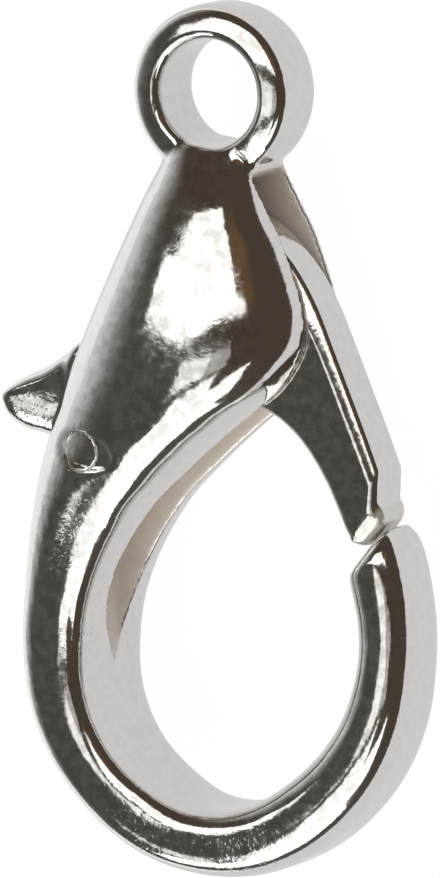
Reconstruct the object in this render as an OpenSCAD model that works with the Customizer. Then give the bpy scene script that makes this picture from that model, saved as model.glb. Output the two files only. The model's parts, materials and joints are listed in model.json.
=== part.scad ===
// Small snap hook of the lobster claw kind, lying on its back, all sizes in millimetres.
// The eye points along +Y, the front face along +Z, and the gate is on the +X side.

/* [Overall] */
// Length over the eye and the claw
clasp_length = 12.14; // [9:0.1:30]
// How full the domed cheeks are, 1 for the size drawn
dome_fullness = 1.0; // [0.85:0.01:1.2]
// Sub-part to show

/* [Eye] */
// Outside diameter of the eye
eye_outer_d = 2.44; // [2.2:0.02:3]
// Diameter of the hole through the eye
eye_hole_d = 1.46; // [1:0.02:1.7]
// Thickness of the eye from front to back
eye_thickness = 1.06; // [0.8:0.02:1.2]
// Rounding of the eye's edges
eye_edge_r = 0.18; // [0.1:0.01:0.22]

/* [Slot and gate] */
// Width of the slot between the two cheeks
slot_width = 0.95; // [0.8:0.01:1.1]
// Free space on each side of the lever in the slot
side_play = 0.05; // [0.02:0.01:0.1]
// Gap between the closed gate and the tip of the claw
tip_gap = 0.04; // [0.02:0.01:0.1]
// Squareness of the lever's section, 2 for an oval and more for a flatter face
lever_squareness = 5; // [2.5:0.1:8]
// How far the lever is turned open, in degrees
open_angle = 0; // [0:1:12]

/* [Rivet] */
// Diameter of the rivet pin
pin_d = 0.56; // [0.4:0.02:0.7]
// Radial play of the lever on its pin
pin_play = 0.02; // [0.01:0.01:0.05]
// How far each rounded pin end stands proud of the cheek
pin_proud = 0.02; // [0:0.01:0.06]

/* [Spring] */
// Thickness of the bent spring strip
strip_thickness = 0.09; // [0.06:0.01:0.14]
// Width of the bent spring strip
strip_width = 0.7; // [0.5:0.02:0.85]

/* [Hidden] */
k = clasp_length / 12.14;
eye_r = eye_outer_d / 2;
hole_r = eye_hole_d / 2;
pin_r = pin_d / 2;
lever_thickness = slot_width - 2 * side_play;
pivot = [-1.55, -4.96] * k;
half_depth = 1.41 * k * dome_fullness + pin_proud;
// The origin lies under the middle of the box, with the lowest point at z = 0
shift = [0.1105 * k, (10.91 * k - eye_r) / 2, half_depth];
$fn = 64;

// Each row of the casting: outer edge x y, inner edge x y, half thickness, squareness outside and inside
rows = [
  [-0.68, -0.78, 0.66, -0.96, 0.56, 3.0, 4.0],
  [-0.82, -0.98, 0.76, -1.14, 0.74, 2.6, 4.0],
  [-1.07, -1.48, 0.91, -1.50, 0.98, 2.5, 4.0],
  [-1.42, -2.20, 1.14, -1.90, 1.15, 2.5, 4.0],
  [-1.76, -2.95, 1.34, -2.36, 1.27, 2.5, 4.0],
  [-2.02, -3.55, 1.47, -2.76, 1.35, 2.5, 4.0],
  [-2.22, -4.05, 1.51, -3.08, 1.40, 2.5, 4.0],
  [-2.37, -4.48, 1.40, -3.44, 1.43, 2.6, 4.0],
  [-2.48, -4.90, 1.05, -3.80, 1.43, 2.8, 4.0],
  [-2.57, -5.32, 0.60, -4.14, 1.41, 3.0, 4.0],
  [-2.64, -5.76, 0.10, -4.56, 1.36, 3.2, 4.0],
  [-2.70, -6.20, -0.42, -5.10, 1.28, 3.4, 4.0],
  [-2.75, -6.66, -0.93, -5.78, 1.20, 3.6, 4.0],
  [-2.78, -7.14, -1.37, -6.54, 1.13, 3.8, 3.6],
  [-2.80, -7.64, -1.62, -7.22, 1.08, 4.0, 3.0],
  [-2.78, -8.12, -1.72, -7.86, 1.05, 4.0, 2.8],
  [-2.70, -8.64, -1.70, -8.40, 1.02, 4.0, 2.8],
  [-2.50, -9.20, -1.54, -8.90, 0.99, 4.0, 3.0],
  [-2.14, -9.76, -1.24, -9.33, 0.96, 4.0, 3.4],
  [-1.60, -10.30, -0.81, -9.68, 0.94, 4.0, 3.8],
  [-0.90, -10.72, -0.32, -9.93, 0.90, 4.0, 4.0],
  [-0.06, -10.91, 0.24, -9.97, 0.87, 4.0, 4.0],
  [0.78, -10.85, 0.78, -9.80, 0.83, 4.0, 4.0],
  [1.56, -10.52, 1.28, -9.46, 0.79, 4.0, 4.0],
  [2.22, -9.98, 1.70, -9.04, 0.75, 4.0, 4.0],
  [2.70, -9.34, 2.02, -8.56, 0.72, 4.0, 4.0],
  [3.00, -8.62, 2.20, -8.06, 0.69, 4.0, 4.0],
  [3.12, -7.92, 2.27, -7.60, 0.66, 4.0, 4.0],
  [3.14, -7.30, 2.25, -7.20, 0.64, 4.0, 4.0],
  [3.08, -6.74, 2.18, -6.90, 0.62, 4.0, 4.0],
  [2.97, -6.28, 2.13, -6.70, 0.61, 4.0, 4.0],
  [2.86, -6.00, 2.11, -6.58, 0.58, 3.4, 3.4],
  [2.72, -5.83, 2.18, -6.48, 0.46, 3.0, 3.0]
];

// Each row of the lever from the tab to the gate: upper edge x y, lower edge x y, share of the full thickness
lever_rows = [
  [-3.36, -4.50, -3.36, -4.60, 0.50],
  [-3.32, -4.38, -3.32, -4.73, 0.86],
  [-3.19, -4.26, -3.21, -4.84, 1],
  [-2.98, -4.14, -3.03, -4.92, 1],
  [-2.70, -4.01, -2.78, -4.96, 1],
  [-2.40, -3.81, -2.53, -5.03, 1],
  [-2.10, -3.60, -2.32, -5.24, 1],
  [-1.75, -3.50, -2.02, -5.56, 1],
  [-1.40, -3.48, -1.60, -5.71, 1],
  [-1.05, -3.36, -1.18, -5.60, 1],
  [-0.74, -3.08, -0.88, -5.24, 1],
  [-0.42, -2.64, -0.66, -4.74, 1],
  [-0.12, -2.18, -0.30, -4.38, 1],
  [0.14, -1.86, 0.14, -4.26, 1],
  [0.42, -1.70, 0.56, -4.28, 1],
  [0.72, -1.81, 0.87, -4.38, 1],
  [1.05, -2.07, 1.12, -4.52, 1],
  [1.36, -2.43, 1.37, -4.74, 1],
  [1.64, -2.89, 1.60, -5.02, 1],
  [1.88, -3.42, 1.80, -5.34, 1],
  [2.12, -3.97, 1.96, -5.66, 1],
  [2.38, -4.57, 2.08, -5.92, 1],
  [2.59, -5.08, 2.16, -6.05, 1]
];
// Line of the claw's end: one point and the direction along it
end_point = [2.658, -5.865];
end_dir = [0.612, 0.79];
end_normal = [0.79, -0.612];

// Slot between the cheeks, seen from the front, with the side opening for the tab
slot_outline = [
  [1.70, -1.10], [0.74, -1.06], [0.50, -1.18], [0.20, -1.27], [-0.20, -1.27], [-0.50, -1.32],
  [-0.66, -1.46], [-0.78, -1.80], [-1.08, -2.50], [-1.40, -3.16], [-1.56, -3.34], [-2.10, -3.50],
  [-2.60, -3.80], [-3.80, -4.00], [-3.80, -5.62], [-2.42, -5.62], [-2.14, -5.86],
  [-2.00, -6.20], [-1.93, -6.65], [-0.60, -6.65], [0.60, -5.60], [2.40, -4.40], [2.40, -2.20]
];

function mix(a, b, t) = a * (1 - t) + b * t;
// Smooth curve through four rows
function curve(a, b, c, d, t) =
  0.5 * (2 * b + (c - a) * t + (2 * a - 5 * b + 4 * c - d) * t * t + (3 * b - a - 3 * c + d) * t * t * t);
function row_at(rows, i, t) = curve(
  rows[max(i - 1, 0)],
  rows[i],
  rows[min(i + 1, len(rows) - 1)],
  rows[min(i + 2, len(rows) - 1)],
  t
);
function finer(rows, steps) = [
  for (i = [0 : len(rows) - 2]) for (j = [0 : steps - 1]) row_at(rows, i, j / steps),
  rows[len(rows) - 1]
];
function power(v, e) = sign(v) * pow(abs(v), e);
// Points of one closed section: r is outer x y, inner x y, half thickness, squareness outside and inside
function section(r, count) = [
  for (i = [0 : count - 1])
    let (
      a = 360 * (i + 0.5) / count,
      e = 2 / (cos(a) < 0 ? r[5] : r[6]),
      p = mix([r[0], r[1]], [r[2], r[3]], 0.5 + power(cos(a), e) / 2)
    )
    [p[0], p[1], r[4] * power(sin(a), e)]
];

// A smooth solid through closed sections, each a row of rows
module loft(rows, count) {
  rings = len(rows);
  points = [for (r = rows) each section(r, count)];
  sides = [
    for (j = [0 : rings - 2]) for (i = [0 : count - 1])
      let (n = (i + 1) % count, a = j * count, b = a + count)
      each [[a + i, b + n, a + n], [a + i, b + i, b + n]]
  ];
  caps = [
    [for (i = [0 : count - 1]) i],
    [for (i = [0 : count - 1]) rings * count - 1 - i]
  ];
  polyhedron(points = points, faces = concat(sides, caps), convexity = 6);
}

module horn() {
  loft(
    [
      for (r = finer(rows, 2))
        [r[0] * k, r[1] * k, r[2] * k, r[3] * k, r[4] * k * dome_fullness, r[5], r[6]]
    ],
    24
  );
}

module eye_ring() {
  e = eye_edge_r;
  h = eye_thickness / 2;
  corners = [[eye_r - e, h - e, 0], [hole_r + e, h - e, 90], [hole_r + e, e - h, 180], [eye_r - e, e - h, 270]];
  rotate_extrude($fn = 64)
    polygon([
      for (c = corners) for (a = [0 : 30 : 90])
        [c[0] + e * cos(c[2] + a), c[1] + e * sin(c[2] + a)]
    ]);
}

module slot_cut() {
  linear_extrude(slot_width, center = true)
    polygon(slot_outline * k);
  // the slot runs out to a point down the inner wall of the claw
  s = slot_width / 2;
  translate([-2 * k, -6.2 * k, 0])
    rotate([0, 0, -82])
      rotate([-90, 0, 0])
        linear_extrude(1.6 * k)
          polygon([
            [-0.3 * k, -s], [0.5 * k, -s], [0.95 * k, -s * 0.85], [1.37 * k, -s * 0.5], [1.7 * k, -s * 0.22],
            [1.94 * k, 0],
            [1.7 * k, s * 0.22], [1.37 * k, s * 0.5], [0.95 * k, s * 0.85], [0.5 * k, s], [-0.3 * k, s]
          ]);
}

module hook_body() {
  color("silver")
    translate(shift)
      difference() {
        union() {
          horn();
          eye_ring();
        }
        cylinder(r = hole_r, h = 4 * k, center = true, $fn = 64);
        slot_cut();
        translate(pivot)
          cylinder(r = pin_r, h = 4 * k, center = true, $fn = 48);
      }
}

module lever_blank() {
  half = lever_thickness / 2;
  last = finer(lever_rows, 2);
  // the gate's end: a rounded nose that stops short of the claw's end by the gap
  reach = end_point * k - end_normal * tip_gap;
  nose = [
    [reach - end_normal * 0.12 * k, 0.20, -0.47, 1],
    [reach - end_normal * 0.03 * k, 0.15, -0.43, 0.88],
    [reach, 0.07, -0.36, 0.70]
  ];
  loft(
    [
      for (r = last) [r[2] * k, r[3] * k, r[0] * k, r[1] * k, r[4] * half, lever_squareness, lever_squareness],
      for (r = nose)
        let (up = r[0] + end_dir * r[1] * k, down = r[0] + end_dir * r[2] * k)
        [down[0], down[1], up[0], up[1], r[3] * half, lever_squareness, lever_squareness]
    ],
    20
  );
}

module gate_lever() {
  color("gainsboro")
    translate(shift)
      translate(pivot)
        rotate([0, 0, open_angle])
          difference() {
            translate(-pivot)
              lever_blank();
            cylinder(r = pin_r + pin_play, h = 4 * k, center = true, $fn = 48);
          }
}

module rivet_pin() {
  half = half_depth - pin_proud;
  color("darkgray")
    translate(shift)
      translate(pivot)
        rotate_extrude($fn = 48)
          polygon([
            [0, -half - pin_proud],
            [pin_r * 0.6, -half - pin_proud],
            [pin_r, -half + 0.04],
            [pin_r, half - 0.04],
            [pin_r * 0.6, half + pin_proud],
            [0, half + pin_proud]
          ]);
}

// Middle line of the bent strip: foot on the wall, bend at the top, free leg down to the lever
strip_line = [
  [-1.30, -3.10], [-0.985, -2.44], [-0.805, -2.02], [-0.70, -1.86], [-0.60, -1.86],
  [-0.56, -2.04], [-0.62, -2.45], [-0.70, -2.75], [-0.80, -3.00]
];

module lever_spring() {
  n = len(strip_line);
  side = [
    for (i = [0 : n - 1])
      let (
        a = strip_line[max(i - 1, 0)],
        b = strip_line[min(i + 1, n - 1)],
        d = (b - a) / norm(b - a)
      )
      [-d[1], d[0]]
  ];
  left = [for (i = [0 : n - 1]) strip_line[i] * k + side[i] * strip_thickness / 2];
  right = [for (i = [n - 1 : -1 : 0]) strip_line[i] * k - side[i] * strip_thickness / 2];
  color("slategray")
    translate(shift)
      linear_extrude(strip_width, center = true)
        polygon(concat(left, right));
}

hook_body();
gate_lever();
rivet_pin();
lever_spring();
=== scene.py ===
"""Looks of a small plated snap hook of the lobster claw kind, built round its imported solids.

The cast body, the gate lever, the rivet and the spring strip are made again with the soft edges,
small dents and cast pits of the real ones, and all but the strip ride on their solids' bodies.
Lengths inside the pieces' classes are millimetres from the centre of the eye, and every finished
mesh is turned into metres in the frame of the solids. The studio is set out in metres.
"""

from __future__ import annotations

import json
import logging
import math
from dataclasses import dataclass
from enum import Enum
from typing import Any, Callable, Sequence

import bpy
import numpy as np
from mathutils import Matrix, Quaternion, Vector

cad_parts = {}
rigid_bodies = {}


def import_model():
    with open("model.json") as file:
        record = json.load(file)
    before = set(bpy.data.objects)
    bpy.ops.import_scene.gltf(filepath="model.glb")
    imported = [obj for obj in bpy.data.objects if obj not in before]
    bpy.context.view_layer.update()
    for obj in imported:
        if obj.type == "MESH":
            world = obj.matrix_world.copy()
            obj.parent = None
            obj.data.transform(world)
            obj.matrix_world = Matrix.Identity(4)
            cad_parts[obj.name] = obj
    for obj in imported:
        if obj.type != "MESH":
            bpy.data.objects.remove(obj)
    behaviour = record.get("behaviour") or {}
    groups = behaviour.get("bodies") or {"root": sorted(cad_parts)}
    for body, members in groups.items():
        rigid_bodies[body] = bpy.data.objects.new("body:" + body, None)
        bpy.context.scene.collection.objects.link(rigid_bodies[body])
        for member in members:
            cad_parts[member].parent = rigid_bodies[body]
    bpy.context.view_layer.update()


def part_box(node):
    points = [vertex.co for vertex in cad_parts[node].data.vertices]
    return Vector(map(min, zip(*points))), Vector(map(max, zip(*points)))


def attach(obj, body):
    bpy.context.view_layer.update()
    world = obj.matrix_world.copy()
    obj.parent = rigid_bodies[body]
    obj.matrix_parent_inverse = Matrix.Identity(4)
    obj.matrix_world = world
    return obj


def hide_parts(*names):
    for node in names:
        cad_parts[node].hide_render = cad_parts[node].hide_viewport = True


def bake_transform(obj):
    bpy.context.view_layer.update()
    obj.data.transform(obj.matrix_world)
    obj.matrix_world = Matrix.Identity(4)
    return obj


LOG = logging.getLogger("snap_hook")
MM = 0.001
# Centre of the eye in the frame of the solids, in millimetres
EYE_CENTRE = np.array([0.1105, 4.845, 1.43])
# How far a skin's point goes towards its neighbours' mean, and the share of it that it comes back
RELAX_IN = 0.5
RELAX_OUT = 0.94

Point = tuple[float, float]
Triple = tuple[float, float, float]
Row = tuple[float, ...]
Array = np.ndarray
Faces = Sequence[Sequence[int]]
Piece = bpy.types.Object
# A node's settings or inputs, by name or number
Given = dict[Any, Any] | None


class Body(Enum):
    """The two bodies that the pieces ride on."""

    HOOK = "hook"
    GATE = "gate"


class Cut(Enum):
    """How one closed mesh works on another."""

    TAKE_AWAY = "DIFFERENCE"
    KEEP_SHARED = "INTERSECT"


# Shapes


def smooth_rows(rows: Sequence[Row], steps: int) -> Array:
    """Passes a smooth curve through rows of section sizes.

    Args:
        rows: the sizes of each section, one row each.
        steps: how many sections to make from each row to the next.

    Returns:
        The finer rows, ending on the last one given.
    """
    r = np.array(rows, float)
    fine = []
    for i in range(len(r) - 1):
        a, b, c, d = r[max(i - 1, 0)], r[i], r[i + 1], r[min(i + 2, len(r) - 1)]
        for j in range(steps):
            t = j / steps
            fine.append(0.5 * (2 * b + (c - a) * t + (2 * a - 5 * b + 4 * c - d) * t * t
                               + (3 * b - a - 3 * c + d) * t ** 3))
    fine.append(r[-1])
    return np.array(fine)


def section(row: Array, count: int) -> Array:
    """Makes the points of one closed section of the casting or the lever.

    Args:
        row: outer x y, inner x y, half thickness, squareness outside and inside, crown, the
            share of the thickness lost from the middle to the sides, and, where they are
            given, lean, the share lost from the outer edge to the inner one, and facet, the
            share lost along the flat edge of the inner half.
        count: the number of points round the section.

    Returns:
        The points, count by 3.
    """
    a = 2 * math.pi * (np.arange(count) + 0.5) / count
    e = 2 / np.where(np.cos(a) < 0, row[5], row[6])
    across = np.sign(np.cos(a)) * np.abs(np.cos(a)) ** e
    up = np.sign(np.sin(a)) * np.abs(np.sin(a)) ** e
    share = (0.5 + across / 2)[:, None]
    flat = row[None, 0:2] * (1 - share) + row[None, 2:4] * share
    lean, facet = row[8:10] if len(row) > 9 else (0.0, 0.0)
    kept = (1 - row[7] * across ** 2) * (1 - lean * share[:, 0])
    return np.column_stack([flat, row[4] * up * (kept - facet * np.clip(2 * across - 1, 0, 1))])


def loft(name: str, rows: Array, count: int) -> Piece:
    """Makes a closed mesh through sections.

    Args:
        name: the name of the new piece.
        rows: the sections' sizes, as section() takes them.
        count: the number of points round each section.

    Returns:
        The piece, in millimetres.
    """
    points = np.concatenate([section(r, count) for r in rows])
    faces: list[tuple[int, ...]] = []
    for j in range(len(rows) - 1):
        for i in range(count):
            n = (i + 1) % count
            a, b = j * count, (j + 1) * count
            faces.append((a + i, b + i, b + n, a + n))
    faces.append(tuple(range(count)))
    faces.append(tuple(len(rows) * count - 1 - i for i in range(count)))
    return closed_piece(name, points, faces)


def closed_piece(name: str, points: Array, faces: Faces) -> Piece:
    """Makes a piece from points and faces, with its faces turned outward.

    Args:
        name: the name of the new piece.
        points: the corners, in millimetres.
        faces: the corners' numbers of each face.

    Returns:
        The piece.
    """
    mesh = bpy.data.meshes.new(name)
    mesh.from_pydata([tuple(p) for p in points], [], [tuple(f) for f in faces])
    mesh.update()
    piece = bpy.data.objects.new(name, mesh)
    bpy.context.scene.collection.objects.link(piece)
    if signed_volume(mesh) < 0:
        mesh.flip_normals()
    return piece


def signed_volume(mesh: bpy.types.Mesh) -> float:
    """Gives the volume inside a closed mesh, below zero where its faces point inward.

    Args:
        mesh: the mesh to measure.

    Returns:
        The volume in cubic units.
    """
    mesh.calc_loop_triangles()
    co = vertices(mesh)
    tri = np.zeros(len(mesh.loop_triangles) * 3, np.int64)
    mesh.loop_triangles.foreach_get("vertices", tri)
    a, b, c = (co[tri.reshape(-1, 3)[:, i]] for i in range(3))
    return float(np.einsum("ij,ij->i", a, np.cross(b, c)).sum() / 6)


def vertices(mesh: bpy.types.Mesh) -> Array:
    """Gives the mesh's points as an array.

    Args:
        mesh: the mesh to read.

    Returns:
        The places of the points, one row each.
    """
    co = np.zeros(len(mesh.vertices) * 3)
    mesh.vertices.foreach_get("co", co)
    return co.reshape(-1, 3)


def move_vertices(mesh: bpy.types.Mesh, points: Array) -> None:
    """Puts the mesh's points where the array says."""
    mesh.vertices.foreach_set("co", np.ascontiguousarray(points, float).ravel())
    mesh.update()


def bridged(name: str, first: Sequence[Row], second: Sequence[Row]) -> Piece:
    """Makes a closed piece between two outlines with the same number of corners.

    Args:
        name: the name of the new piece.
        first: the corners of the one end.
        second: the corners of the other end.

    Returns:
        The piece.
    """
    n = len(first)
    faces: list[Sequence[int]] = [(i, (i + 1) % n, n + (i + 1) % n, n + i) for i in range(n)]
    faces.append([n - 1 - i for i in range(n)])
    faces.append([n + i for i in range(n)])
    return closed_piece(name, np.array([*first, *second]), faces)


def prism(name: str, outline: Sequence[Point], low: float, high: float) -> Piece:
    """Makes a straight prism on an outline.

    Args:
        name: the name of the new piece.
        outline: the corners seen from the front.
        low: the back face's depth.
        high: the front face's depth.

    Returns:
        The piece.
    """
    return bridged(name, [(x, y, low) for x, y in outline], [(x, y, high) for x, y in outline])


def turned(name: str, profile: Sequence[Point], count: int, ring: bool) -> Piece:
    """Makes a turned piece about the depth axis.

    Args:
        name: the name of the new piece.
        profile: radius and depth of each corner, in order.
        count: the number of sides.
        ring: true where the profile closes on itself, as for a ring.

    Returns:
        The piece.
    """
    n = len(profile)
    points = []
    for i in range(count):
        a = 2 * math.pi * i / count
        points += [(r * math.cos(a), r * math.sin(a), z) for r, z in profile]
    faces: list[Sequence[int]] = []
    for i in range(count):
        a, b = i * n, ((i + 1) % count) * n
        for j in range(n if ring else n - 1):
            m = (j + 1) % n
            faces.append((a + j, b + j, b + m, a + m))
    if not ring:
        faces.append([i * n for i in range(count)])
        faces.append([i * n + n - 1 for i in reversed(range(count))])
    return closed_piece(name, np.array(points), faces)


def apply_modifier(piece: Piece, kind: str, **settings: Any) -> None:
    """Adds one modifier and makes its result the piece's mesh.

    Args:
        piece: the piece to change.
        kind: the modifier's type.
        **settings: the modifier's own settings.
    """
    tool = piece.modifiers.new(kind.lower(), kind)
    for key, value in settings.items():
        setattr(tool, key, value)
    graph = bpy.context.evaluated_depsgraph_get()
    mesh = bpy.data.meshes.new_from_object(piece.evaluated_get(graph))
    piece.modifiers.clear()
    old = piece.data
    piece.data = mesh
    bpy.data.meshes.remove(old)


def cut(piece: Piece, tool: Piece, how: Cut) -> None:
    """Cuts a piece with another one, which is used up.

    Args:
        piece: the piece to change.
        tool: the piece that cuts.
        how: what the tool does.
    """
    apply_modifier(piece, "BOOLEAN", operation=how.value, object=tool, solver="EXACT")
    bpy.data.objects.remove(tool)


def join(name: str, parts: Sequence[Piece]) -> Piece:
    """Puts closed meshes into one piece, overlaps and all.

    Args:
        name: the name of the joined piece.
        parts: the pieces, which are used up.

    Returns:
        The joined piece.
    """
    points, faces, start = [], [], 0
    for part in parts:
        co = vertices(part.data)
        points.append(co)
        faces += [[start + v for v in poly.vertices] for poly in part.data.polygons]
        start += len(co)
        bpy.data.objects.remove(part)
    mesh = bpy.data.meshes.new(name)
    mesh.from_pydata([tuple(p) for p in np.concatenate(points)], [], faces)
    piece = bpy.data.objects.new(name, mesh)
    bpy.context.scene.collection.objects.link(piece)
    return piece


def cast_skin(piece: Piece, grain: float, rounds: int) -> None:
    """Gives a piece one even skin and soft edges, as casting, tumbling and plating do.

    Args:
        piece: the piece to change.
        grain: the size of the skin's faces, in millimetres.
        rounds: how many times the skin is relaxed.
    """
    apply_modifier(piece, "REMESH", mode="VOXEL", voxel_size=grain, adaptivity=0.0)
    relax(piece, rounds)


class Neighbours:
    """Which points of a mesh are joined by an edge."""

    def __init__(self, mesh: bpy.types.Mesh) -> None:
        """Keeps the mesh's edges and how many of them meet at each point."""
        ends = np.zeros(len(mesh.edges) * 2, np.int64)
        mesh.edges.foreach_get("vertices", ends)
        self.edges = ends.reshape(-1, 2)
        self.degree = np.bincount(ends, minlength=len(mesh.vertices)).astype(float)

    def mean(self, values: Array) -> Array:
        """Gives the mean of the neighbours' values at each point.

        Args:
            values: one value for each point.

        Returns:
            The means, one for each point.
        """
        first, second = self.edges[:, 0], self.edges[:, 1]
        total = (np.bincount(first, values[second], minlength=len(values))
                 + np.bincount(second, values[first], minlength=len(values)))
        return total / self.degree


def relax(piece: Piece, rounds: int) -> None:
    """Relaxes a skin without letting it shrink much, by a step in and a lesser one out again.

    Args:
        piece: the piece to change.
        rounds: how many pairs of steps to take.
    """
    co = vertices(piece.data)
    beside = Neighbours(piece.data)
    for _ in range(rounds):
        for pull in (RELAX_IN, -RELAX_IN * RELAX_OUT):
            mean = np.column_stack([beside.mean(co[:, axis]) for axis in range(3)])
            co = co + pull * (mean - co)
    move_vertices(piece.data, co)


def settle(piece: Piece, node: str) -> None:
    """Turns a piece from millimetres at the eye into metres in the frame, inside its solid's box.

    Args:
        piece: the finished piece.
        node: the name of the solid that the piece stands for.
    """
    low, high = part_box(node)
    co = (vertices(piece.data) + EYE_CENTRE) * MM
    move_vertices(piece.data, np.clip(co, np.array(low), np.array(high)))
    piece.data.polygons.foreach_set("use_smooth", [True] * len(piece.data.polygons))
    piece.data.update()


# Shader maths


class Blend(Enum):
    """How two colours are put together."""

    MIX = "MIX"
    DARKEN = "MULTIPLY"


class Tree:
    """One node tree, with one method that adds any node."""

    def __init__(self, tree: bpy.types.NodeTree) -> None:
        """Empties the tree and keeps it."""
        self.tree = tree
        tree.nodes.clear()

    def node(self, kind: str, settings: Given = None, sockets: Given = None) -> bpy.types.Node:
        """Adds one node.

        Args:
            kind: the node's type.
            settings: the node's own settings, set first.
            sockets: a value or a link for each input, by name or number.

        Returns:
            The new node.
        """
        made = self.tree.nodes.new(kind)
        for key, value in (settings or {}).items():
            setattr(made, key, value)
        for key, value in (sockets or {}).items():
            self.feed(made.inputs[key], value)
        return made

    def feed(self, socket: bpy.types.NodeSocket, value: Any) -> None:
        """Links a socket or sets its value.

        Args:
            socket: the input to feed.
            value: a wrapped socket, a socket, a number, a vector or a colour.
        """
        if isinstance(value, Sock):
            value = value.socket
        if isinstance(value, bpy.types.NodeSocket):
            self.tree.links.new(value, socket)
        elif socket.type == "RGBA" and len(value) == 3:
            socket.default_value = (*value, 1.0)
        else:
            socket.default_value = value

    def value(self, kind: str, settings: Given = None, sockets: Given = None,
              out: str | int = 0) -> Sock:
        """Adds one node and wraps one of its outputs.

        Args:
            kind: the node's type.
            settings: the node's own settings.
            sockets: a value or a link for each input.
            out: the output's name or number.

        Returns:
            The wrapped output.
        """
        return Sock(self, self.node(kind, settings, sockets).outputs[out])

    def mix(self, share: Sock, first: Any, second: Any, how: Blend = Blend.MIX) -> Sock:
        """Puts two colours together.

        Args:
            share: how much of the second colour is taken.
            first: a colour or a wrapped socket.
            second: a colour or a wrapped socket.
            how: the way they are put together.

        Returns:
            The wrapped result.
        """
        return self.value("ShaderNodeMix", {"data_type": "RGBA", "blend_type": how.value},
                          {0: share, 6: first, 7: second}, 2)

    def towards(self, way: Sock, direction: Triple) -> Sock:
        """Gives how far one direction goes along another, from 1 to -1 for unit lengths."""
        return self.value("ShaderNodeVectorMath", {"operation": "DOT_PRODUCT"},
                          {0: way, 1: direction}, "Value")


class Sock:
    """A node's output that takes part in sums as a number does."""

    def __init__(self, tree: Tree, socket: bpy.types.NodeSocket) -> None:
        """Keeps the tree and the output."""
        self.tree = tree
        self.socket = socket

    def maths(self, operation: str, *others: Any, clamp: bool = False) -> Sock:
        """Adds one Math node on this value and the others."""
        settings = {"operation": operation, "use_clamp": clamp}
        return self.tree.value("ShaderNodeMath", settings, dict(enumerate((self, *others))))

    def swapped(self, operation: str, first: Any) -> Sock:
        """Adds one Math node with this value in second place."""
        return self.tree.value("ShaderNodeMath", {"operation": operation}, {0: first, 1: self})

    def __add__(self, other: Any) -> Sock:
        """Gives this value plus another."""
        return self.maths("ADD", other)

    def __radd__(self, other: Any) -> Sock:
        """Gives another value plus this one."""
        return self.swapped("ADD", other)

    def __sub__(self, other: Any) -> Sock:
        """Gives this value less another."""
        return self.maths("SUBTRACT", other)

    def __rsub__(self, other: Any) -> Sock:
        """Gives another value less this one."""
        return self.swapped("SUBTRACT", other)

    def __mul__(self, other: Any) -> Sock:
        """Gives this value times another."""
        return self.maths("MULTIPLY", other)

    def __rmul__(self, other: Any) -> Sock:
        """Gives another value times this one."""
        return self.swapped("MULTIPLY", other)

    def clamped(self) -> Sock:
        """Keeps the value from 0 to 1."""
        return self.maths("ADD", 0.0, clamp=True)

    def smooth(self, low: float, high: float) -> Sock:
        """Gives 0 below low and 1 above high, with a soft step between them.

        Args:
            low: where the step starts.
            high: where it ends.

        Returns:
            The wrapped result.
        """
        return self.tree.value(
            "ShaderNodeMapRange", {"interpolation_type": "SMOOTHSTEP"},
            {"Value": self, "From Min": low, "From Max": high, "To Min": 0.0, "To Max": 1.0},
        )


@dataclass(frozen=True)
class CastPits:
    """A patch of cast pits and specks: its middle, its reach, and the share of it that is full."""

    centre: Triple
    reach: float
    strength: float = 1.0
    core: float = 0.35


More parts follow.
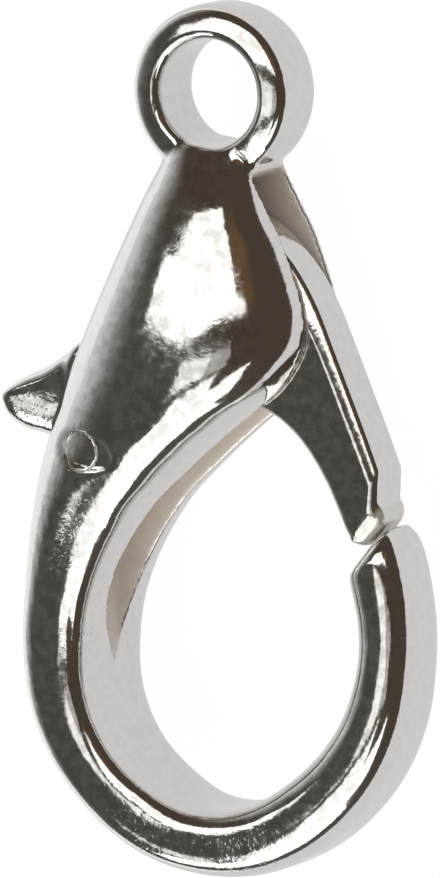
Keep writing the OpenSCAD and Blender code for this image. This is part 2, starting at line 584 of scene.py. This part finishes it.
@dataclass(frozen=True)
class Plating:
    """Bright nickel plating on a small die casting, with its ripple, haze and cast pits."""

    name: str
    colour: Triple = (0.80, 0.79, 0.77)
    dull_colour: Triple = (0.82, 0.745, 0.65)
    worn_colour: Triple = (0.56, 0.54, 0.52)
    roughness: float = 0.075
    haze: float = 0.07
    ripple: float = 0.05
    mottle: float = 0.012
    orange_peel: float = 0.075
    pits: tuple[CastPits, ...] = ()
    # Waves to the millimetre of the ripple, the fine and the gritty grain, the cloudiness and the
    # smudges, and of the cells whose middles are pits
    wave_scale: float = 0.9
    fine_scale: float = 9.0
    grit_scale: float = 34.0
    broad_scale: float = 1.6
    smudge_scale: float = 6.5
    cell_scale: float = 13.0
    # Steps from none to all: faces that look up, peel, a pit's wall, smudges, haze and grit
    facing_step: Point = (0.78, 0.96)
    broad_step: Point = (0.52, 0.75)
    pit_step: Point = (0.10, 0.30)
    smudge_step: Point = (0.38, 0.62)
    haze_step: Point = (0.45, 0.75)
    grit_step: Point = (0.62, 0.80)
    # How much peel there is in the pitted patches and elsewhere
    peel_pitted: float = 0.6
    peel_broad: float = 0.12
    # How much of the worn colour there is in pits, smudges that look up, others and fine grain
    pit_worn: float = 0.6
    smudge_up: float = 0.46
    smudge_side: float = 0.08
    fine_worn: float = 0.1
    # What pits, grit and the dull skin inside the slot add to the roughness
    pit_rough: float = 0.25
    grit_rough: float = 0.05
    dull_rough: float = 0.42
    # How far the dull skin takes over the colour, and how much metal it hides
    dull_cover: float = 0.92
    dull_hides: float = 0.85
    # Heights, as shares of the bump's reach in millimetres
    grit_pitted: float = 0.012
    grit_height: float = 0.0008
    pit_depth: float = 0.024
    bump_reach: float = 0.10

    def material(self) -> bpy.types.Material:
        """Makes the material.

        Returns:
            The material, whose pattern lies in the piece's own millimetres.
        """
        made = bpy.data.materials.new(self.name)
        made.use_nodes = True
        t = Tree(made.node_tree)
        place = t.value("ShaderNodeTexCoord", out="Object")
        mm = t.value("ShaderNodeVectorMath", {"operation": "SCALE"}, {0: place, "Scale": 1 / MM})
        wave = self.noise(t, mm, self.wave_scale, detail=2.0)
        fine = self.noise(t, mm, self.fine_scale, detail=3.0)
        grit = self.noise(t, mm, self.grit_scale, detail=2.0)
        broad = self.noise(t, mm, self.broad_scale, detail=1.0)
        smudge = self.noise(t, mm, self.smudge_scale, detail=4.0)
        patch = self.pit_patches(t, mm)
        normal = t.value("ShaderNodeNewGeometry", out="Normal")
        facing = t.value("ShaderNodeSeparateXYZ", None, {0: normal}, "Z")
        facing = facing.maths("ABSOLUTE").smooth(*self.facing_step)
        peel = patch * self.peel_pitted + broad.smooth(*self.broad_step) * self.peel_broad
        cell = t.value("ShaderNodeTexVoronoi", {"feature": "F1"},
                       {"Vector": mm, "Scale": self.cell_scale, "Randomness": 1.0}, "Distance")
        pit = (1.0 - cell.smooth(*self.pit_step)) * patch
        dull = t.value("ShaderNodeAttribute", {"attribute_name": "inside"}, None, "Fac")
        shade = t.mix((dull * self.dull_cover).clamped(), self.colour, self.dull_colour)
        cloud = (smudge.smooth(*self.smudge_step) * (facing * self.smudge_up + self.smudge_side)
                 * (1.0 - dull))
        worn = t.mix((pit * self.pit_worn + cloud + fine * self.fine_worn).clamped(),
                     shade, self.worn_colour, Blend.DARKEN)
        rough = (self.roughness + fine.smooth(*self.haze_step) * self.haze + pit * self.pit_rough
                 + grit.smooth(*self.grit_step) * self.grit_rough
                 + dull * self.dull_rough).clamped()
        height = (wave * self.ripple + fine * (peel * self.orange_peel + self.mottle)
                  + grit * (patch * self.grit_pitted + self.grit_height) - pit * self.pit_depth)
        bump = t.node("ShaderNodeBump", None,
                      {"Strength": 1.0, "Distance": self.bump_reach * MM, "Height": height})
        metal = t.node("ShaderNodeBsdfPrincipled", None, {
            "Base Color": worn, "Metallic": 1.0 - dull * self.dull_hides, "Roughness": rough,
            "Normal": bump.outputs[0]})
        t.node("ShaderNodeOutputMaterial", None, {"Surface": metal.outputs[0]})
        return made

    def noise(self, t: Tree, place: Sock, scale: float, detail: float) -> Sock:
        """Adds one even noise, with its scale in waves to the millimetre."""
        return t.value("ShaderNodeTexNoise", None,
                       {"Vector": place, "Scale": scale, "Detail": detail, "Roughness": 0.5}, 0)

    def pit_patches(self, t: Tree, mm: Sock) -> Sock:
        """Adds up the patches where the casting is pitted.

        Args:
            t: the material's tree.
            mm: the place in millimetres.

        Returns:
            A mask, 1 in the middle of each patch at full strength.
        """
        total: Sock | float = 0.0
        for spot in self.pits:
            centre = tuple(float(v) for v in np.array(spot.centre) + EYE_CENTRE)
            away = t.value("ShaderNodeVectorMath", {"operation": "DISTANCE"},
                           {0: mm, 1: centre}, "Value")
            within_reach = 1.0 - away.smooth(spot.reach * spot.core, spot.reach)
            total = within_reach * spot.strength + total
        return total.clamped() if self.pits else t.value("ShaderNodeValue")


# Studio


@dataclass(frozen=True)
class SoftBox:
    """A soft lamp: its middle, its width and depth, and which way it faces and is turned."""

    name: str
    place: Triple
    size: tuple[float, float]
    level: float
    faces: Triple = (0.0, 0.0, -1.0)
    turn: float = 0.0

    def build(self) -> None:
        """Makes the lamp, as bright to look at as its level says, where 1 is white."""
        lamp = bpy.data.lights.new(self.name, "AREA")
        lamp.shape = "RECTANGLE"
        lamp.size, lamp.size_y = self.size
        lamp.energy = self.level * math.pi * self.size[0] * self.size[1]
        made = bpy.data.objects.new(self.name, lamp)
        bpy.context.scene.collection.objects.link(made)
        made.location = self.place
        made.rotation_mode = "QUATERNION"
        aim = Vector(self.faces).to_track_quat("-Z", "Y")
        made.rotation_quaternion = aim @ Quaternion((0, 0, 1), math.radians(self.turn))
        made.visible_camera = False


@dataclass
class Studio:
    """A white floor, dimmer in mirrored light than to the camera, soft lamps and the camera."""

    # The floor: its colour as paper, its tones where it is mirrored, on the right and on the left
    # with the step between them, its tone to the camera, and how much of it these tones take
    floor_reach: float = 0.6
    floor_colour: Triple = (0.86, 0.86, 0.86)
    floor_mirrored: Triple = (0.75, 0.75, 0.765)
    floor_left: Triple = (1.02, 1.02, 1.02)
    floor_step: Point = (-0.0058, -0.0030)
    floor_seen: Triple = (1.06, 1.06, 1.06)
    glow_share: float = 0.90
    # The room: how much pale light it spreads, and its tones
    room_light: float = 0.40
    dark: Triple = (0.074, 0.057, 0.042)
    dusk: Triple = (0.095, 0.090, 0.082)
    warm: Triple = (0.150, 0.085, 0.045)
    pale: Triple = (0.95, 0.95, 0.95)
    # The ways in which the room is pale, dusky and warm, each with its step from none to all
    pale_way: Triple = (-0.88, 0.20, -0.43)
    pale_step: Point = (0.34, 1.12)
    dusk_way: Triple = (-0.70, -0.70, 0.15)
    dusk_step: Point = (-0.25, 0.75)
    warm_way: Triple = (0.43, 0.39, 0.81)
    warm_step: Point = (0.955, 0.995)
    # The camera: lens and sensor in millimetres, the height that it takes in, what it looks at,
    # the way back to it, and its upright
    lens: float = 500.0
    sensor: float = 36.0
    view_height: float = 0.012067
    target: Triple = (0.000400, 0.000101, 0.002097)
    towards_camera: Triple = (0.4641, 0.1513, 0.8728)
    camera_up: Triple = (-0.0710, 0.9885, -0.1336)
    lamps: tuple[SoftBox, ...] = (
        SoftBox("window", (-0.0125, 0.0826, 0.200), (0.144, 0.1162), 1.35, turn=17.0),
        SoftBox("window_side", (-0.094, 0.065, 0.2005), (0.074, 0.060), 1.35, turn=55.0),
        SoftBox("window_foot", (-0.1143, 0.0382, 0.201), (0.102, 0.034), 1.35, turn=-17.0),
        SoftBox("window_sill", (0.025, 0.0375, 0.2015), (0.170, 0.020), 1.35, turn=9.0),
        SoftBox("strip", (-0.032, -0.024, 0.202), (0.068, 0.044), 1.1),
        SoftBox("strip_end", (0.030, -0.024, 0.202), (0.056, 0.044), 0.45),
        SoftBox("side_card", (-0.118, -0.1875, 0.200), (0.044, 0.145), 1.0),
        SoftBox("table_card", (0.055, -0.1825, 0.200), (0.250, 0.155), 1.4),
        SoftBox("table_step", (-0.006, -0.0835, 0.2005), (0.092, 0.047), 1.4),
        SoftBox("lower_panel", (-0.041, -0.262, 0.170), (0.318, 0.140), 2.1,
                faces=(0.0, 1.0, 0.0)),
    )

    def build(self) -> None:
        """Makes the floor, the world, the lamps and the camera."""
        self.floor()
        self.world()
        for lamp in self.lamps:
            lamp.build()
        self.camera()
        bpy.context.scene.view_settings.view_transform = "Standard"

    def floor(self) -> None:
        """Makes the floor, which looks white and keeps the object's shadow."""
        r = self.floor_reach
        mesh = bpy.data.meshes.new("floor")
        mesh.from_pydata([(-r, -r, 0), (r, -r, 0), (r, r, 0), (-r, r, 0)], [], [(0, 1, 2, 3)])
        floor = bpy.data.objects.new("floor", mesh)
        bpy.context.scene.collection.objects.link(floor)
        made = bpy.data.materials.new("white_paper")
        made.use_nodes = True
        t = Tree(made.node_tree)
        path = t.node("ShaderNodeLightPath")
        seen, mirrored, through = (Sock(t, path.outputs[n]) for n in (
            "Is Camera Ray", "Is Glossy Ray", "Is Transmission Ray"))
        share = (seen + mirrored + through).clamped() * self.glow_share
        paper = t.node("ShaderNodeBsdfDiffuse", None, {"Color": self.floor_colour})
        place = t.value("ShaderNodeTexCoord", out="Object")
        across = t.value("ShaderNodeSeparateXYZ", None, {0: place}, "X")
        tone = t.mix(across.smooth(*self.floor_step), self.floor_left, self.floor_mirrored)
        tone = t.mix(seen, tone, self.floor_seen)
        glow = t.node("ShaderNodeEmission", None, {"Color": tone, "Strength": 1.0})
        both = t.node("ShaderNodeMixShader", None,
                      {0: share, 1: paper.outputs[0], 2: glow.outputs[0]})
        t.node("ShaderNodeOutputMaterial", None, {"Surface": both.outputs[0]})
        mesh.materials.append(made)

    def world(self) -> None:
        """Makes the room: white to the camera, dim and brown overhead, paler low on the left."""
        world = bpy.data.worlds.new("room")
        bpy.context.scene.world = world
        world.use_nodes = True
        t = Tree(world.node_tree)
        way = t.value("ShaderNodeTexCoord", out="Generated")
        path = t.node("ShaderNodeLightPath")
        seen = Sock(t, path.outputs["Is Camera Ray"])
        spread = Sock(t, path.outputs["Is Diffuse Ray"])
        left = t.towards(way, self.pale_way).smooth(*self.pale_step)
        share = (left + seen + spread * self.room_light).clamped()
        tone = t.mix(t.towards(way, self.dusk_way).smooth(*self.dusk_step), self.dark, self.dusk)
        tone = t.mix(t.towards(way, self.warm_way).smooth(*self.warm_step), tone, self.warm)
        dim = t.node("ShaderNodeBackground", None, {"Color": tone, "Strength": 1.0})
        pale = t.node("ShaderNodeBackground", None, {"Color": self.pale, "Strength": 1.0})
        both = t.node("ShaderNodeMixShader", None,
                      {0: share, 1: dim.outputs[0], 2: pale.outputs[0]})
        t.node("ShaderNodeOutputWorld", None, {"Surface": both.outputs[0]})

    def camera(self) -> None:
        """Makes the camera at the photograph's viewing angle."""
        data = bpy.data.cameras.new("camera")
        data.lens = self.lens
        data.sensor_width = self.sensor
        data.clip_start, data.clip_end = 0.01, 5.0
        camera = bpy.data.objects.new("camera", data)
        bpy.context.scene.collection.objects.link(camera)
        back = Vector(self.towards_camera).normalized()
        away = self.view_height / 2 / (data.sensor_width / 2 / data.lens)
        up = Vector(self.camera_up)
        across = up.cross(back).normalized()
        up = back.cross(across)
        turn = Matrix((across, up, back)).transposed()
        camera.rotation_mode = "QUATERNION"
        camera.rotation_quaternion = turn.to_quaternion()
        camera.location = Vector(self.target) + back * away
        bpy.context.scene.camera = camera


def within(outline: Sequence[Point], x: Array, y: Array) -> Array:
    """Tells which points lie within an outline seen from the front.

    Args:
        outline: the outline's corners.
        x: the points' places across.
        y: the points' places along.

    Returns:
        True for each point within it.
    """
    found = np.zeros(len(x), bool)
    for (ax, ay), (bx, by) in zip(outline, [*outline[1:], outline[0]]):
        if ay == by:
            continue
        crosses = (ay > y) != (by > y)
        found ^= crosses & (x < ax + (y - ay) * (bx - ax) / (by - ay))
    return found


def pin_bar(name: str, centre: Point, radius: float, half: float) -> Piece:
    """Makes a round bar along the depth axis.

    Args:
        name: the name of the new piece.
        centre: the bar's place seen from the front.
        radius: its radius.
        half: half its length.

    Returns:
        The bar.
    """
    bar = turned(name, [(radius, -half), (radius, half)], 64, ring=False)
    move_vertices(bar.data, vertices(bar.data) + np.array([*centre, 0.0]))
    return bar


def mark_inside(piece: Piece, inside: Callable[[Array], Array], rounds: int) -> None:
    """Marks the points that lie inside the slot, softened over their neighbours.

    Args:
        piece: the piece, in millimetres from the eye.
        inside: gives how far each point counts as inside, from 0 to 1.
        rounds: how many times the mark is softened.
    """
    mesh = piece.data
    mark = inside(vertices(mesh)).astype(float)
    beside = Neighbours(mesh)
    for _ in range(rounds):
        mark = 0.5 * mark + 0.5 * beside.mean(mark)
    layer = mesh.attributes.new("inside", "FLOAT", "POINT")
    layer.data.foreach_set("value", mark)


def dress(piece: Piece, finish: Plating, node: str) -> None:
    """Gives a finished piece its finish and puts it in the place of its solid.

    Args:
        piece: the finished piece.
        finish: what it is finished in.
        node: the solid that it stands for.
    """
    piece.data.materials.append(finish.material())
    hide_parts(node)
    LOG.info("%s: %d faces for %s", piece.name, len(piece.data.polygons), node)


# Pieces


@dataclass
class CastBody:
    """The cast body: eye, neck, cheeks with the slot between them, and the claw."""

    eye_outer_r: float = 1.22
    eye_hole_r: float = 0.73
    eye_half: float = 0.58
    # Squareness inside and outside, crown, and how much thinner the rim is than the bore
    eye_shape: tuple[float, float, float, float] = (4.4, 4.2, 0.0, 0.18)
    bore_edge: float = 0.07
    slot_half: float = 0.475
    pivot: Point = (-1.55, -4.96)
    pin_hole_r: float = 0.280
    # The shallow oval that swaging the rivet leaves: middle, half sizes, turn and depth
    swage: Point = (-1.49, -4.95)
    swage_size: Point = (0.47, 0.25)
    swage_turn: float = -8.0
    swage_depth: float = 0.05
    # Where the oval runs out, over what share of its size it softens, and from which height up
    swage_end: float = 1.2
    swage_soft: float = 0.4
    cheek_from: float = 0.8
    grain: float = 0.042
    cut_grain: float = 0.042 * 1.08
    finish: Plating = Plating("plated_casting", pits=(
        CastPits((-2.25, -5.9, 1.0), 1.15, 0.55), CastPits((-1.95, -7.6, 0.7), 0.45, 1.0),
        CastPits((-1.1, -10.4, 0.6), 1.2, 0.42), CastPits((0.6, -10.5, 0.6), 1.0, 0.45),
        CastPits((-0.75, -1.2, 0.6), 0.6, 0.5), CastPits((-1.4, -7.6, -1.0), 1.3, 0.5),
    ))
    # Sections from the neck round to the tip of the claw, as section() takes them
    rows: tuple[Row, ...] = (
        (-0.66, -0.66, 0.64, -0.80, 0.57, 3.0, 4.0, 0.00),
        (-0.82, -0.98, 0.79, -1.14, 0.74, 2.6, 3.0, 0.00),
        (-1.07, -1.48, 0.97, -1.50, 0.98, 2.5, 2.5, 0.00),
        (-1.42, -2.20, 1.20, -1.90, 1.15, 2.4, 2.4, 0.00),
        (-1.76, -2.95, 1.40, -2.36, 1.27, 2.4, 2.3, 0.00),
        (-2.02, -3.55, 1.53, -2.75, 1.35, 2.4, 2.3, 0.00),
        (-2.22, -4.05, 1.58, -3.07, 1.40, 2.4, 2.3, 0.00),
        (-2.37, -4.48, 1.51, -3.48, 1.43, 2.5, 2.4, 0.00),
        (-2.48, -4.90, 1.22, -3.96, 1.43, 2.6, 2.5, 0.00),
        (-2.57, -5.32, 0.79, -4.35, 1.41, 2.8, 2.5, 0.00),
        (-2.64, -5.76, 0.29, -4.75, 1.36, 3.0, 2.6, 0.00),
        (-2.70, -6.20, -0.28, -5.25, 1.28, 3.2, 2.9, 0.02),
        (-2.75, -6.66, -0.86, -5.82, 1.20, 3.4, 3.5, 0.04),
        (-2.78, -7.14, -1.34, -6.54, 1.13, 3.6, 4.2, 0.05),
        (-2.80, -7.64, -1.62, -7.22, 1.08, 4.0, 4.8, 0.06),
        (-2.78, -8.12, -1.72, -7.86, 1.05, 4.0, 5.2, 0.06),
        (-2.70, -8.64, -1.70, -8.40, 1.02, 4.0, 5.4, 0.06),
        (-2.50, -9.20, -1.54, -8.90, 0.99, 4.0, 5.4, 0.06),
        (-2.14, -9.76, -1.24, -9.33, 0.96, 4.0, 5.4, 0.06),
        (-1.60, -10.30, -0.81, -9.68, 0.94, 4.0, 5.4, 0.06),
        (-0.90, -10.72, -0.32, -9.93, 0.90, 4.0, 5.4, 0.07),
        (-0.06, -10.91, 0.24, -9.97, 0.87, 4.0, 5.2, 0.08),
        (0.78, -10.85, 0.78, -9.80, 0.83, 4.0, 4.8, 0.10),
        (1.56, -10.52, 1.28, -9.46, 0.79, 4.0, 4.4, 0.13),
        (2.22, -9.98, 1.70, -9.04, 0.75, 4.0, 4.0, 0.17),
        (2.70, -9.34, 2.02, -8.56, 0.72, 4.0, 4.0, 0.18),
        (3.00, -8.62, 2.20, -8.06, 0.69, 4.0, 4.0, 0.19),
        (3.12, -7.92, 2.27, -7.60, 0.66, 4.0, 4.0, 0.20),
        (3.14, -7.30, 2.25, -7.20, 0.64, 4.0, 4.0, 0.20),
        (3.08, -6.74, 2.18, -6.90, 0.62, 4.0, 4.0, 0.20),
        (2.97, -6.28, 2.13, -6.70, 0.61, 4.0, 4.0, 0.18),
        (2.86, -6.00, 2.11, -6.58, 0.58, 3.4, 3.4, 0.12),
        (2.72, -5.83, 2.18, -6.48, 0.46, 3.0, 3.0, 0.10),
    )
    slot_outline: tuple[Point, ...] = (
        (1.70, -1.10), (0.74, -1.06), (0.50, -1.18), (0.20, -1.27), (-0.20, -1.27), (-0.50, -1.32),
        (-0.66, -1.46), (-0.78, -1.80), (-1.08, -2.50), (-1.40, -3.16), (-1.56, -3.34),
        (-2.10, -3.50), (-2.60, -3.80), (-3.80, -4.00), (-3.80, -5.62), (-2.42, -5.62),
        (-2.14, -5.86), (-2.00, -6.20), (-1.93, -6.65), (-0.60, -6.65), (0.60, -5.60),
        (2.40, -4.40), (2.40, -2.20),
    )
    # How the slot narrows down the claw's inner wall: distance along it and half depth
    tail: tuple[Point, ...] = (
        (-0.3, 0.475), (0.5, 0.475), (0.95, 0.404), (1.37, 0.2375), (1.7, 0.1045), (1.94, 0.0),
    )
    tail_start: Point = (-2.0, -6.2)
    tail_turn: float = -82.0
    tail_depth: float = 1.6
    # What counts as the slot's own wall: how near its outline, below which place the tail takes
    # over, how deep in the tail, and how far past the tail's and the slot's half width
    wall_reach: float = 0.04
    tail_below: float = -6.3
    tail_walls: Point = (-0.06, 1.0)
    tail_past: float = 0.01
    slot_past: float = 0.012

    def blank(self, name: str) -> Piece:
        """Makes the casting before its slot and holes are cut.

        Args:
            name: the name of the new piece.

        Returns:
            The blank, in millimetres.
        """
        horn = loft(name + "_horn", smooth_rows(self.rows, steps=8), count=96)
        piece = join(name, [horn, self.eye()])
        cast_skin(piece, self.grain, rounds=14)
        self.dent(piece)
        return piece

    def dent(self, piece: Piece) -> None:
        """Presses in the shallow oval that swaging leaves round each end of the rivet.

        Args:
            piece: the blank.
        """
        co = vertices(piece.data)
        turn = math.radians(self.swage_turn)
        x, y = co[:, 0] - self.swage[0], co[:, 1] - self.swage[1]
        away = np.hypot((x * math.cos(turn) + y * math.sin(turn)) / self.swage_size[0],
                        (y * math.cos(turn) - x * math.sin(turn)) / self.swage_size[1])
        step = np.clip((self.swage_end - away) / self.swage_soft, 0.0, 1.0)
        depth = self.swage_depth * step ** 2 * (3 - 2 * step)
        on_cheek = np.abs(co[:, 2]) > self.cheek_from
        co[:, 2] -= np.sign(co[:, 2]) * np.where(on_cheek, depth, 0.0)
        move_vertices(piece.data, co)

    def eye(self) -> Piece:
        """Makes the closed eye, a thick ring that thins a little to its rim, with rounded edges.

        Returns:
            The eye, in millimetres.
        """
        o, i = self.eye_outer_r, self.eye_hole_r
        row = np.array([i, 0.0, o, 0.0, self.eye_half, *self.eye_shape, 0.0])
        profile = [(float(r), float(z)) for r, _, z in section(row, count=72)]
        return turned("eye", profile, count=144, ring=True)

    def slot_tool(self) -> Piece:
        """Makes the block that cuts the slot between the cheeks."""
        return prism("slot_tool", self.slot_outline, -self.slot_half, self.slot_half)

    def tail_tool(self) -> Piece:
        """Makes the wedge that runs the slot out to a point down the claw's inner wall.

        Returns:
            The wedge, in millimetres.
        """
        outline = [*self.tail, *((d, -s) for d, s in reversed(self.tail[:-1]))]
        turn = math.radians(self.tail_turn)
        x, y = self.tail_start
        ends = [[(x + d * math.cos(turn) - depth * math.sin(turn),
                  y + d * math.sin(turn) + depth * math.cos(turn), s) for d, s in outline]
                for depth in (0.0, self.tail_depth)]
        return bridged("tail_tool", *ends)

    def in_slot(self, points: Array) -> Array:
        """Tells which points lie on the slot's own walls.

        Args:
            points: the points to test.

        Returns:
            True for each point on the slot's walls.
        """
        found = np.zeros(len(points), bool)
        near = self.wall_reach
        for dx, dy in ((near, 0.0), (-near, 0.0), (0.0, near), (0.0, -near)):
            found |= within(self.slot_outline, points[:, 0] + dx, points[:, 1] + dy)
        turn = math.radians(self.tail_turn)
        x, y = points[:, 0] - self.tail_start[0], points[:, 1] - self.tail_start[1]
        across = x * math.cos(turn) + y * math.sin(turn)
        half = np.interp(across, [d for d, _ in self.tail], [s for _, s in self.tail], 0.0, 0.0)
        depth = y * math.cos(turn) - x * math.sin(turn)
        first, last = self.tail_walls
        wedge = (np.abs(points[:, 2]) < half + self.tail_past) & (depth > first) & (depth < last)
        found = np.where(points[:, 1] < self.tail_below, wedge, found)
        return found & (np.abs(points[:, 2]) < self.slot_half + self.slot_past)

    def build(self) -> tuple[Piece, Piece]:
        """Makes the cast body with its slot, the bore of its eye and the rivet's hole.

        Returns:
            The cast body, and a copy of the blank that the rivet's ends are shaped by.
        """
        piece = self.blank("cast_body")
        spare = piece.copy()
        spare.data = piece.data.copy()
        bpy.context.scene.collection.objects.link(spare)
        e, h, r = self.bore_edge, self.eye_half, self.eye_hole_r
        waist = [(r + e - e * math.sin(math.radians(a)), h - e + e * math.cos(math.radians(a)))
                 for a in range(0, 91, 15)]
        # The bore's tool flares out past the face of the eye, well clear of it
        bore = [(r + e + 0.05, 2.0), (r + e, h + 0.03)] + waist[1:]
        bore += [(x, -z) for x, z in reversed(bore)]
        cut(piece, turned("bore_tool", bore, count=96, ring=False), Cut.TAKE_AWAY)
        cut(piece, self.slot_tool(), Cut.TAKE_AWAY)
        cut(piece, self.tail_tool(), Cut.TAKE_AWAY)
        cast_skin(piece, self.cut_grain, rounds=4)
        cut(piece, pin_bar("hole_tool", self.pivot, self.pin_hole_r, half=3.0), Cut.TAKE_AWAY)
        mark_inside(piece, self.in_slot, rounds=1)
        settle(piece, "hook_body")
        return piece, spare


@dataclass
class RivetPin:
    """The rivet that the lever turns on, its ends dressed flush with the cheeks."""

    pivot: Point = (-1.55, -4.96)
    radius: float = 0.277
    # The share of its length that dressing leaves
    sunk: float = 0.997
    grain: float = 0.02
    finish: Plating = Plating("rivet_steel", colour=(0.74, 0.72, 0.69), roughness=0.16, ripple=0.02)

    def build(self, blank: Piece) -> Piece:
        """Makes the rivet by keeping what its bar and the blank casting share.

        Args:
            blank: the casting before its slot is cut, used up.

        Returns:
            The rivet.
        """
        bar = pin_bar("rivet", self.pivot, self.radius, half=3.0)
        cut(bar, blank, Cut.KEEP_SHARED)
        cast_skin(bar, self.grain, rounds=3)
        co = vertices(bar.data)
        co[:, 2] *= self.sunk
        move_vertices(bar.data, co)
        settle(bar, "rivet_pin")
        return bar


@dataclass
class SpringStrip:
    """The bent strip in the slot that pushes the gate shut."""

    thickness: float = 0.085
    width: float = 0.69
    edge: float = 0.012
    line: tuple[Point, ...] = (
        (-1.30, -3.10), (-0.985, -2.44), (-0.805, -2.02), (-0.70, -1.86), (-0.60, -1.86),
        (-0.56, -2.04), (-0.62, -2.45), (-0.70, -2.75), (-0.80, -3.00),
    )
    # Where the strip leaves the casting's wall for the lever, seen from the front
    bend_start: Point = (-0.78, -1.84)
    bend_end: Point = (-0.50, -1.99)
    finish: Plating = Plating("spring_steel", colour=(0.42, 0.41, 0.40), roughness=0.3, ripple=0.01)

    def build(self) -> Piece:
        """Makes the strip with its rounded edges.

        Returns:
            The strip.
        """
        line = smooth_rows(self.line, steps=6)
        step = np.gradient(line, axis=0)
        side = np.column_stack([-step[:, 1], step[:, 0]]) / np.linalg.norm(step, axis=1)[:, None]
        half = self.thickness / 2
        outline = np.concatenate([line + side * half, (line - side * half)[::-1]])
        piece = prism("spring_strip", outline, -self.width / 2, self.width / 2)
        apply_modifier(piece, "BEVEL", width=self.edge, segments=2, limit_method="ANGLE")
        settle(piece, "lever_spring")
        return piece

    def hand_over(self, piece: Piece) -> None:
        """Dresses the strip, which stays in the frame of the solids and rides on neither body.

        Args:
            piece: the finished strip.
        """
        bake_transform(piece)
        dress(piece, self.finish, "lever_spring")


@dataclass
class GateLever:
    """The lever: thumb tab, lobe round the rivet, arch and gate, cast flat in one piece."""

    half: float = 0.425
    squareness: float = 12.0
    tab_squareness: float = 3.2
    tab_lean: float = 0.50
    crown: float = 0.05
    facet: float = 0.13
    pivot: Point = (-1.55, -4.96)
    bore_r: float = 0.30
    tip_gap: float = 0.04
    grain: float = 0.032
    # The thumb tab: left of which place it starts, and over what length its shape sets in
    tab_start: float = -1.95
    tab_soft: float = 0.35
    # The nose: its end, the way along its face, how deep and how much it counts as inside, and
    # its sections: how far back, how far up and down the face, and the share of the thickness
    nose_end: Point = (2.658, -5.865)
    nose_way: Point = (0.612, 0.79)
    nose_depth: float = 0.18
    nose_shade: float = 0.35
    nose_rows: tuple[Row, ...] = ((0.24, 0.22, -0.48, 1.0), (0.15, 0.20, -0.46, 0.95),
                                  (0.06, 0.15, -0.42, 0.82), (0.0, 0.08, -0.36, 0.58))
    finish: Plating = Plating("plated_lever", pits=(
        CastPits((-2.85, -4.6, 0.3), 0.55, 0.55), CastPits((-2.85, -4.6, -0.3), 0.55, 0.5),
        CastPits((0.4, -3.6, 0.4), 1.0, 0.25),
    ))
    # Sections from the tab to the nose: upper x y, lower x y, and the share of the half thickness
    rows: tuple[Row, ...] = (
        (-3.36, -4.48, -3.36, -4.62, 0.62), (-3.32, -4.36, -3.32, -4.74, 0.92),
        (-3.19, -4.26, -3.21, -4.84, 1), (-2.98, -4.14, -3.03, -4.92, 1),
        (-2.70, -4.01, -2.78, -4.96, 1), (-2.40, -3.81, -2.53, -5.03, 1),
        (-2.10, -3.60, -2.32, -5.24, 1), (-1.75, -3.50, -2.02, -5.56, 1),
        (-1.40, -3.48, -1.60, -5.71, 1), (-1.05, -3.36, -1.18, -5.60, 1),
        (-0.74, -3.08, -0.88, -5.24, 1), (-0.42, -2.64, -0.66, -4.74, 1),
        (-0.12, -2.18, -0.30, -4.38, 1), (0.14, -1.86, 0.14, -4.26, 1),
        (0.42, -1.70, 0.56, -4.28, 1), (0.72, -1.81, 0.87, -4.38, 1),
        (1.05, -2.07, 1.12, -4.52, 1), (1.36, -2.43, 1.37, -4.74, 1),
        (1.64, -2.89, 1.60, -5.02, 1), (1.88, -3.42, 1.80, -5.34, 1),
        (2.12, -3.97, 1.96, -5.66, 1), (2.38, -4.57, 2.08, -5.92, 1),
        (2.59, -5.08, 2.16, -6.05, 1),
    )

    def build(self) -> Piece:
        """Makes the lever with its bore and the rounded nose of its gate.

        Returns:
            The lever.
        """
        rows = []
        for r in smooth_rows(self.rows, steps=8):
            tab = min(max((self.tab_start - r[0]) / self.tab_soft, 0.0), 1.0)
            s = self.squareness + (self.tab_squareness - self.squareness) * tab
            thin = 1 - self.tab_lean * tab
            rows.append((r[2], r[3], r[0], r[1], r[4] * self.half * thin, s, s,
                         self.crown * (1 - tab), 1 - 1 / thin, self.facet * (1 - tab)))
        s = self.squareness
        along = np.array(self.nose_way)
        off = np.array([along[1], -along[0]])
        reach = np.array(self.nose_end) - off * self.tip_gap
        for back, up, down, share in self.nose_rows:
            p = reach - off * back
            rows.append((*(p + along * down), *(p + along * up), share * self.half, s, s,
                         self.crown, 0.0, self.facet))
        piece = loft("gate_arm", np.array(rows), count=96)
        cut(piece, pin_bar("lever_bore", self.pivot, self.bore_r, half=2.0), Cut.TAKE_AWAY)
        cast_skin(piece, self.grain, rounds=6)
        mark_inside(piece, lambda p: self.nose_shade * (
            (p[:, :2] - reach) @ off > -self.nose_depth), rounds=3)
        settle(piece, "gate_lever")
        return piece


def place(piece: Piece, finish: Plating, body: Body, node: str, slot: str) -> None:
    """Hands a finished piece to the body that carries it, and dresses it.

    Args:
        piece: the finished piece.
        finish: what it is finished in.
        body: the body that it rides on.
        node: the solid that it stands for.
        slot: not used.
    """
    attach(piece, body.value)
    dress(piece, finish, node)


def main() -> None:
    """Builds the snap hook's looks and the studio round it."""
    logging.basicConfig(level=logging.INFO, format="%(message)s")
    for item in list(bpy.data.objects):
        bpy.data.objects.remove(item)
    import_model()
    body, lever, rivet, spring = CastBody(), GateLever(), RivetPin(), SpringStrip()
    cast, blank = body.build()
    place(cast, body.finish, Body.HOOK, "hook_body", "plated_casting")
    place(lever.build(), lever.finish, Body.GATE, "gate_lever", "plated_lever")
    place(rivet.build(blank), rivet.finish, Body.HOOK, "rivet_pin", "rivet_steel")
    spring.hand_over(spring.build())
    Studio().build()


if __name__ == "__main__":
    main()
